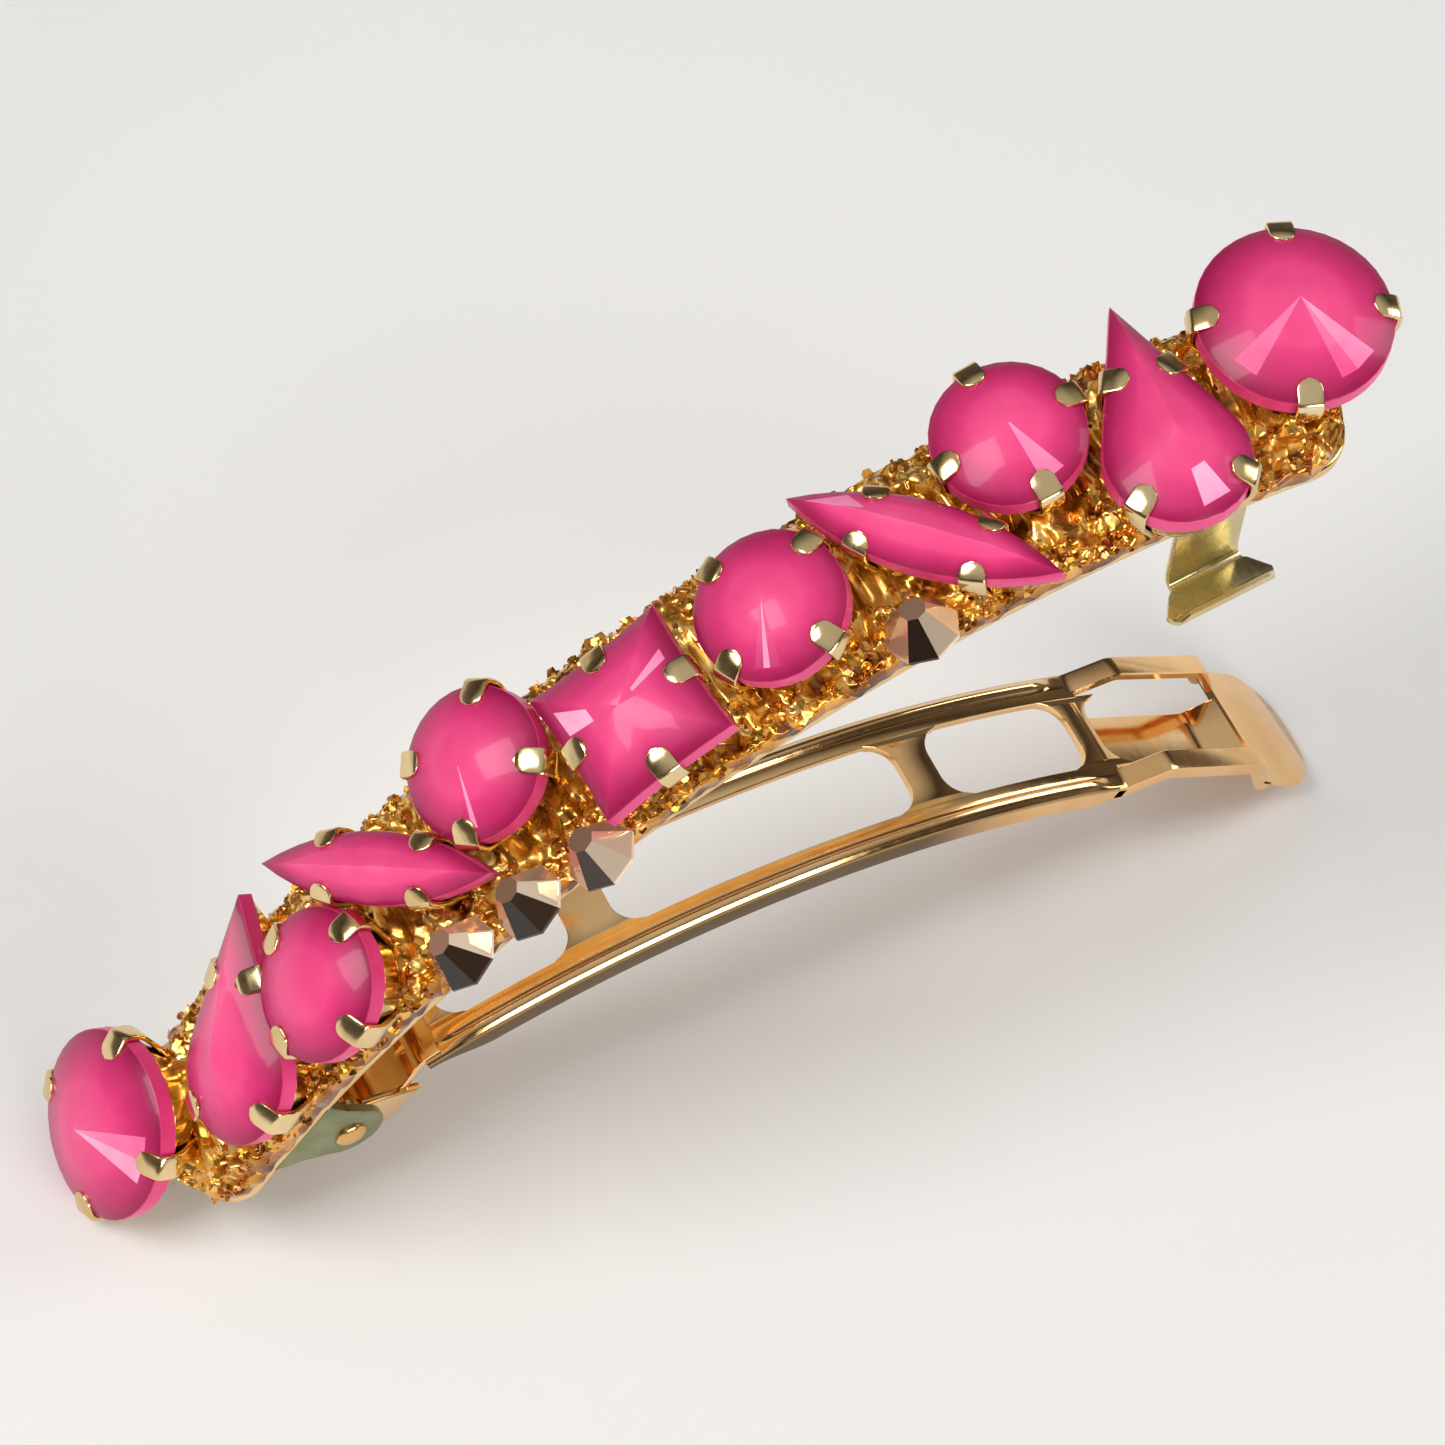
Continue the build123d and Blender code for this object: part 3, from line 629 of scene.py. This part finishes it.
# ---- chatons -----------------------------------------------------------------------------------
# Tones of the eight long facets, from the clasp side round over the back to the front. The darkest and
# brightest are painted where the photograph shows reflections; they stay in every view.
BRIGHT_FRONT = [0.7, 0.5, 0.4, 0.5, 0.55, 0.02, 1.0, 0.8]
DARK_FRONT = [0.85, 0.5, 0.4, 0.5, 0.5, 0.0, 0.05, 1.0]
CHATON_TONES = {"1": BRIGHT_FRONT, "2": BRIGHT_FRONT, "3": DARK_FRONT, "4": DARK_FRONT}


def chaton(tones):
    """Eight-sided pointed gem with a small table; each long facet has its own tone, a painted reflection."""
    gem = Shape()
    rings = []
    for z, radius in ((-CHATON_DOWN, CHATON_TABLE * 0.6), (-0.12, CHATON_R * 0.98), (-0.08, CHATON_R),
                      (0.08, CHATON_R), (0.12, CHATON_R * 0.98), (CHATON_UP, CHATON_TABLE)):
        turns = [math.radians(45 * k) for k in range(8)]
        rings.append([Vector((radius * math.cos(turn), radius * math.sin(turn), z)) for turn in turns])
    for low, high in zip(rings, rings[1:]):
        for k in range(8):
            j = (k + 1) % 8
            gem.faces.append(tuple(gem.add([low[k], low[j], high[j], high[k]], [tones[k]] * 4)))
    gem.faces.append(tuple(gem.add(rings[0][::-1], [0.2] * 8)))
    gem.faces.append(tuple(gem.add(rings[-1], [0.4] * 8)))
    return gem


for name, (s, y, lift) in CHATONS.items():
    gem = chaton(CHATON_TONES[name])
    gem.moved(on_arc(GIRDLE_R + lift, s, y, roll=CHATON_ROLL))
    make(f"mirror_chaton_{name}", gem, CHATON_MIRROR, "frame", [f"chaton_{name}"], sharp=0)


# ---- glue bed and its foil flakes --------------------------------------------------------------
GLUE_LOW = PLATE_R + PLATE_T
GLUE_FROM, GLUE_TO = math.radians(GLUE_START) * GIRDLE_R, math.radians(GLUE_END) * GIRDLE_R
GLUE_INSET, GLUE_OVER = 0.15, 0.25  # kept inside the CAD bed's sides, and allowed above its top


def strip_half_width(s, half, start, end, round_start, round_end):
    """Half the width at s of a strip whose two ends are rounded in plan."""
    for left, corner in ((s - start, round_start), (end - s, round_end)):
        if left < corner:
            return half - corner + math.sqrt(max(corner ** 2 - (corner - max(left, 0)) ** 2, 0))
    return half


def glue_point(s, around):
    """Point on the lumpy bed: around runs from 0 at the back edge over the top to 1 at the front edge."""
    angle = math.pi * around
    half = strip_half_width(s, GLUE_W / 2 - GLUE_INSET, GLUE_FROM, GLUE_TO,
                            GLUE_ROUND_START - GLUE_INSET, GLUE_ROUND_END)
    across = half * math.copysign(abs(math.cos(angle)) ** 0.45, math.cos(angle))
    rise = math.sin(angle) ** 0.4
    crease = 1 - 2 * abs(noise.noise(Vector((s * 0.62, across * 0.62, 3.1))))
    lump = 0.55 * crease + 0.35 * noise.noise(Vector((s * 1.5, across * 1.5, 8.4)))
    lump += 0.16 * (1 - 2 * abs(noise.noise(Vector((s * 2.9, across * 2.9, 1.7)))))
    height = GLUE_T * rise * (0.48 + 0.72 * lump)
    wobble = 1 + 0.035 * noise.noise(Vector((s * 1.3, rise * 2, 5.5))) - 0.02
    return arc_point(GLUE_LOW + min(height, GLUE_T + GLUE_OVER), s, across * wobble)


def glue_bed():
    bed = Shape()
    rings, tones = [], []
    steps, around = 480, 60
    for i in range(steps + 1):
        s = GLUE_FROM + 0.02 + (GLUE_TO - GLUE_FROM - 0.04) * i / steps
        ring = [glue_point(s, k / around) for k in range(around + 1)]
        rings.append(ring)
        heights = [math.hypot(p.x - ARC_X, p.z - ARC_Z) - GLUE_LOW for p in ring]
        # tone rises with height above the plate: painted shade in the hollows and creases
        tones.append([min(0.15 + 0.62 * h / GLUE_T, 0.85) for h in heights])
    bed.loft(rings, tones=tones)
    return bed


def glue_flakes(count=1300):
    """Small foil scraps lying at all tilts in the surface of the glue."""
    chance = random.Random(11)
    flakes = Shape()
    for _ in range(count):
        s = chance.uniform(GLUE_FROM + 1, GLUE_TO - 1)
        point = glue_point(s, chance.uniform(0.04, 0.96))
        outward = (point - Vector((ARC_X, point.y * 0.4, ARC_Z))).normalized()
        tilt = Vector((chance.gauss(0, 0.45), chance.gauss(0, 0.45), chance.gauss(0, 0.45)))
        normal = (outward + tilt).normalized()
        side = normal.orthogonal().normalized()
        other = normal.cross(side)
        size = chance.uniform(0.10, 0.34)
        corners = chance.choice((4, 5, 6))
        rim = []
        for k in range(corners):
            angle = math.tau * k / corners + chance.uniform(-0.2, 0.2)
            rim.append(point + outward * 0.03 + (side * math.cos(angle) + other * math.sin(angle)) * size)
        lower = [p - normal * 0.03 for p in rim]
        flakes.loft([lower, rim])
    return flakes


make("glitter_bed", glue_bed(), GLUE, "frame", ["glue_bed"], sharp=60)
make("foil_flakes", glue_flakes(), FLAKES, "frame", sharp=0)


# ---- base plate, hinge pin, bracket and rivet --------------------------------------------------
def base_plate():
    plate = Shape()
    start, end = math.radians(PLATE_START) * GIRDLE_R, math.radians(PLATE_END) * GIRDLE_R
    eased = [1 - math.cos(math.radians(6 * k)) for k in range(16)]
    stations = [start + PLATE_ROUND_START * e for e in eased]
    first, last = start + PLATE_ROUND_START, end - PLATE_ROUND_END
    stations += [first + (last - first) * k / 120 for k in range(1, 120)]
    stations += [end - PLATE_ROUND_END * e for e in reversed(eased)]
    rings = []
    for s in stations:
        half = strip_half_width(s, PLATE_W / 2, start, end, PLATE_ROUND_START, PLATE_ROUND_END)
        loop = rounded_box(half, PLATE_R, PLATE_R + PLATE_T, 0.22)
        rings.append([arc_point(radius, s, across) for across, radius in loop])
    plate.loft(rings)
    return plate


def hinge_ears():
    """The two ears folded down from the plate, in a dull green-grey that is a painted reflection."""
    ears = Shape()
    for side in (1, -1):
        place = on_arc(PLATE_R - PIN_DEPTH, PIN_S)
        loop = []
        for k in range(13):
            angle = math.radians(180 + 15 * k)
            loop.append((EAR_ROUND * math.cos(angle), EAR_ROUND * math.sin(angle)))
        loop += [(2.2, 1.6), (EAR_ROOT, PIN_DEPTH + 0.4), (-EAR_ROOT, PIN_DEPTH + 0.4), (-2.2, 1.6)]
        outer, inner = PLATE_W / 2 * side, (PLATE_W / 2 - EAR_T) * side
        rings = []
        sections = [(outer, 0.1), (outer - 0.08 * side, 0.0), (inner + 0.08 * side, 0.0), (inner, 0.1)]
        for across, inset in sections:
            rings.append([place @ Vector((x * (1 - inset / 2), across, z * (1 - inset / 2)))
                          for x, z in loop])
        ears.loft(rings)
    return ears


def turned(shape, place, profile, steps=32):
    """Turn (radius, height) points about the place's z axis."""
    rings = []
    turns = [math.tau * k / steps for k in range(steps)]
    for radius, height in profile:
        rings.append([place @ Vector((radius * math.cos(turn), radius * math.sin(turn), height))
                      for turn in turns])
    shape.loft(rings)


def hinge_pin():
    pin = Shape()
    half = PLATE_W / 2
    place = Matrix.Translation(PIN) @ Matrix.Rotation(math.radians(-90), 4, "X")
    profile = [(r, -half - h) for r, h in PIN_HEAD] + [(PIN_R, -half), (PIN_R, half)]
    profile += [(r, half + h) for r, h in reversed(PIN_HEAD)]
    turned(pin, place, profile)
    return pin


def clasp_bracket():
    bracket = Shape()
    rings = []
    reach = math.radians(BRACKET_HALF_ANGLE) * GIRDLE_R
    for k in range(13):
        s = CLASP_S + reach * (k / 6 - 1)
        loop = rounded_box(BRACKET_W / 2, PLATE_R - BRACKET_T, PLATE_R, 0.15)
        rings.append([arc_point(radius, s, across) for across, radius in loop])
    bracket.loft(rings)
    return bracket


def clasp_rivet():
    rivet = Shape()
    profile = [(r, -BRACKET_T - h) for r, h in RIVET_HEAD]
    profile += [(RIVET_R, -BRACKET_T), (RIVET_R, PLATE_T - RIVET_SINK)]
    turned(rivet, on_arc(PLATE_R, CLASP_S, turn=CLASP_TURN), profile)
    return rivet


make("formed_plate", base_plate(), PLATE_GOLD, "frame", ["base_plate"])
make("folded_ears", hinge_ears(), EAR_PAINTED_REFLECTION, "frame")
make("riveted_pin", hinge_pin(), RIVET_METAL, "frame", ["hinge_pin"])
make("leg_bracket", clasp_bracket(), CLASP_GOLD, "frame", ["clasp_bracket"])
make("domed_rivet", clasp_rivet(), RIVET_METAL, "frame", ["clasp_rivet"])


# ---- clasp legs --------------------------------------------------------------------------------
def clasp_leg(side):
    """Sprung strip that ends in an outward lip, wider than the leg and tapered at its turned-up edge."""
    leg = Shape()
    path = smooth_path(LEG_PATH, 0.5, 6)
    normals = path_normals(path)
    lengths = [0.0]
    for a, b in zip(path, path[1:]):
        lengths.append(lengths[-1] + (b - a).length)
    total = lengths[-1]
    place = on_arc(PLATE_R, CLASP_S, turn=CLASP_TURN)
    rings = []
    for point, normal, length in zip(path, normals, lengths):
        left = total - length
        if left > LIP_LENGTH:
            half = LEG_HALF_W
        else:
            t = 1 - left / LIP_LENGTH
            half = LEG_HALF_W + LIP_SPREAD * math.sin(min(t * 2.2, 1) * math.pi / 2)
            half -= LIP_TAPER * max(t - 0.5, 0) ** 1.5 / 0.35
        thick = LEG_HALF_T if left > 0.3 else 0.12 + 0.08 * left / 0.3
        ring = []
        for along, height in rounded_box(half, -thick, thick, thick * 0.7, 2):
            y, z = point[0] + normal[0] * height, point[1] + normal[1] * height
            ring.append(place @ Vector((along, y * side, z)))
        rings.append(ring)
    leg.loft(rings)
    return leg


make("sprung_leg_back", clasp_leg(1), CLASP_GOLD, "leg_back", ["clasp_leg_back"])
make("sprung_leg_front", clasp_leg(-1), CLASP_GOLD, "leg_front", ["clasp_leg_front"])


# ---- locking arm -------------------------------------------------------------------------------
def ease(value, low, high):
    """0 below low, 1 above high, smooth between."""
    t = min(max((value - low) / (high - low), 0), 1)
    return t * t * (3 - 2 * t)


def arm_rail(arm, side):
    """Rail with a flat inner strip, a groove, a bead and a turned-down outer wall.

    The wall and the groove have darker tones, painted where the photograph shows dark reflections.
    """
    rings, tones = [], []
    for k in range(RAIL_STEPS + 1):
        s = RAIL_START + (FOOT + 0.1 - RAIL_START) * k / RAIL_STEPS
        # painted dark reflection on the outer wall, fading to plain gold along the arm
        wall_reflection = WALL_REFLECTION_TONE + 0.44 * ease(s, REFLECTION_FADE_START, REFLECTION_FADE_END)
        bead = 0.27 * ease(s, 5.6, 8.5) * (1 - ease(s, 45.6, 47.4))
        wall = -(0.55 + 0.95 * ease(s, 5.4, 9.0) - 0.5 * ease(s, 46.4, 48.0))
        loop = [(2.2, -0.42), (2.2, -0.08), (2.26, 0.0), (2.86, 0.0), (2.94, -0.05 * bead / 0.27),
                (3.02, 0.12 * bead), (3.14, 0.75 * bead), (3.3, bead), (3.46, 0.86 * bead),
                (3.62, 0.35 * bead), (3.74, -0.03), (3.82, -0.12), (3.85, -0.26), (3.85, wall + 0.06),
                (3.8, wall), (3.6, wall), (3.55, wall + 0.06), (3.55, -SHEET_T), (3.42, -SHEET_T),
                (2.26, -SHEET_T)]
        rings.append([on_arm(s, y * side, n) for y, n in loop])
        # painted dark reflections in the grooves beside the bead, as on the wall
        crease = {4: 0.15, 5: 0.3, 10: 0.2, 11: 0.2}
        tones.append([wall_reflection if i in (12, 13, 14) else crease.get(i, 0.5) for i in range(len(loop))])
    arm.loft(rings, tones=tones)


def arm_bar(arm, start, stop):
    """Crossbar between two slots, widened by the slots' rounded corners."""
    rings = []
    half = SLOT_W / 2
    for k in range(33):
        y = (half + 0.12) * (k / 16 - 1)
        over = max(abs(y) - (half - SLOT_CORNER), 0)
        flare = SLOT_CORNER - math.sqrt(max(SLOT_CORNER ** 2 - min(over, SLOT_CORNER) ** 2, 0))
        low, high = start - flare, stop + flare
        loop = rounded_box((high - low) / 2, -SHEET_T, 0.0, 0.08, 2)
        rings.append([on_arm((low + high) / 2 + along, y, n) for along, n in loop])
    arm.loft(rings)


def arm_strip(arm, corners, half, radius=0.35, y=0.0, flange=0.0):
    """Bent strip that follows (s, n) corners, with an optional turned-down edge on its outer side."""
    path = smooth_path(corners, radius)
    normals = path_normals(path)
    rings = []
    for point, normal in zip(path, normals):
        if flange:
            loop = [(-half, -SHEET_T), (-half, -0.08), (-half + 0.08, 0.0), (half - 0.2, 0.0),
                    (half - 0.06, -0.07), (half, -0.2), (half, -flange + 0.05), (half - 0.05, -flange),
                    (half - 0.27, -flange), (half - 0.32, -SHEET_T)]
        else:
            loop = rounded_box(half, -SHEET_T, 0.0, 0.1, 2)
        side = 1 if y >= 0 else -1
        rings.append([on_arm(point[0] + normal[0] * n, y + across * side, point[1] + normal[1] * n)
                      for across, n in loop])
    arm.loft(rings)


def arm_tab(arm):
    """Finger tab: full width and rounded in plan, on the same arc as the arm."""
    rings = []
    corner = ARM_W / 2 - 0.3
    stations = [LEVEL - 0.2 + (TAB_END - corner - LEVEL + 0.2) * k / 10 for k in range(10)]
    stations += [TAB_END - corner * (1 - math.sin(math.radians(5 * k))) for k in range(19)]
    for s in stations:
        left = max(TAB_END - s, 0)
        half = ARM_W / 2
        if left < corner:
            half += math.sqrt(max(corner ** 2 - (corner - left) ** 2, 0)) - corner
        loop = rounded_box(half, -SHEET_T, 0.0, 0.16)
        rings.append([on_arm(s, y, n) for y, n in loop])
    arm.loft(rings)


def arm_cheek(arm, side):
    """Cheek turned up round the pin at the hinge end."""
    loop = []
    for k in range(13):
        angle = math.radians(-5 + 190 * k / 12)
        loop.append((CHEEK_ROUND * math.cos(angle), CHEEK_ROUND * math.sin(angle)))
    loop += [(-1.4, -1.6), (-1.35, -TAIL_DROP - 0.3), (1.9, -TAIL_DROP - 0.3), (4.0, -2.0), (2.3, -0.7)]
    outer, inner = ARM_W / 2 * side, (ARM_W / 2 - CHEEK_T) * side
    rings = []
    sections = [(outer, 0.06), (outer - 0.07 * side, 0.0), (inner + 0.07 * side, 0.0), (inner, 0.06)]
    for across, inset in sections:
        rings.append([on_arm(s * (1 - inset), across, n * (1 - inset)) for s, n in loop])
    arm.loft(rings)


def locking_arm():
    arm = Shape()
    for side in (1, -1):
        arm_rail(arm, side)
        arm_strip(arm, [(FOOT - 0.5, 0), (FOOT, 0), (RISEN, BUCKLE_RISE), (FALLING, BUCKLE_RISE), (LEVEL, 0),
                        (LEVEL + 0.5, 0)], BUCKLE_RAIL_HALF, y=BUCKLE_RAIL_Y * side, flange=BUCKLE_FLANGE)
        arm_cheek(arm, side)
    edges = [5.3] + [s for slot in SLOTS for s in slot] + [FOOT + 0.1]
    for start, stop in zip(edges[::2], edges[1::2]):
        arm_bar(arm, start, stop)
    arm_strip(arm, [(FOOT - 0.5, 0), (FOOT, 0), (FOOT + 0.8, -TONGUE_DROP),
                    (FALLING + 0.2, -TONGUE_DROP), (LEVEL, 0), (LEVEL + 0.5, 0)], TONGUE_HALF)
    arm_tab(arm)
    arm_strip(arm, [(6.2, 0), (5.2, -0.1), (3.7, -1.5), (1.8, -TAIL_DROP + 0.15), (-1.5, -TAIL_DROP)],
              TAIL_HALF, 0.8)
    return arm


make("formed_arm", locking_arm(), ARM_GOLD, "arm", ["locking_arm"])


# ---- stage: floor, lights and camera -----------------------------------------------------------
def floor():
    mesh = bpy.data.meshes.new("floor")
    corners = [(-1, -1), (1, -1), (1, 1), (-1, 1)]
    mesh.from_pydata([(x * FLOOR_REACH, y * FLOOR_REACH, 0) for x, y in corners], [], [(0, 1, 2, 3)])
    ground = bpy.data.objects.new("floor", mesh)
    bpy.context.collection.objects.link(ground)
    material, _, _, shader = new_material("floor")
    shader.inputs["Base Color"].default_value = (0.86, 0.86, 0.86, 1)
    shader.inputs["Roughness"].default_value = 0.9
    mesh.materials.append(material)


def area_light(name, place, size, power, colour=(1, 1, 1)):
    """Soft light at a place in metres, aimed at the middle of the clip."""
    data = bpy.data.lights.new(name, "AREA")
    data.shape = "RECTANGLE"
    data.size, data.size_y = size
    data.energy = power
    data.color = colour
    light = bpy.data.objects.new(name, data)
    bpy.context.collection.objects.link(light)
    light.location = place
    light.rotation_euler = (Vector(LIGHT_TARGET) - Vector(place)).to_track_quat("-Z", "Y").to_euler()


def studio():
    world = bpy.data.worlds.new("studio")
    world.use_nodes = True
    nodes, links = world.node_tree.nodes, world.node_tree.links
    place = nodes.new("ShaderNodeTexCoord")
    split = nodes.new("ShaderNodeSeparateXYZ")
    links.new(place.outputs["Generated"], split.inputs["Vector"])
    sky = ramp_node(nodes, links, split.outputs["Z"], [
        (0.0, (0.9, 0.9, 0.9)), (0.10, (0.14, 0.12, 0.10)),
        (0.5, (0.04, 0.035, 0.03)), (0.85, (0.50, 0.50, 0.50))])
    links.new(sky.outputs["Color"], nodes["Background"].inputs["Color"])
    nodes["Background"].inputs["Strength"].default_value = 1.0
    bpy.context.scene.world = world
    area_light("window", (-0.35, 0.05, 0.5), (0.3, 0.3), 2.2, (1.0, 0.98, 0.95))
    area_light("front", (0.05, -0.5, 0.22), (0.35, 0.12), 1.2, (1.0, 0.97, 0.93))
    area_light("right", (0.5, -0.1, 0.3), (0.2, 0.3), 0.7)


def photo_camera():
    data = bpy.data.cameras.new("camera")
    data.sensor_width = SENSOR_WIDTH
    data.lens = LENS
    data.clip_start = NEAREST
    camera = bpy.data.objects.new("camera", data)
    bpy.context.collection.objects.link(camera)
    camera.location = CAMERA_PLACE
    aim = (Vector(CAMERA_TARGET) - camera.location).to_track_quat("-Z", "Y").to_matrix().to_4x4()
    turned_view = aim @ Matrix.Rotation(math.radians(-CAMERA_ROLL), 4, "Z")
    camera.rotation_euler = turned_view.to_euler()
    bpy.context.scene.camera = camera


floor()
studio()
photo_camera()
bpy.context.scene.view_settings.view_transform = "Standard"
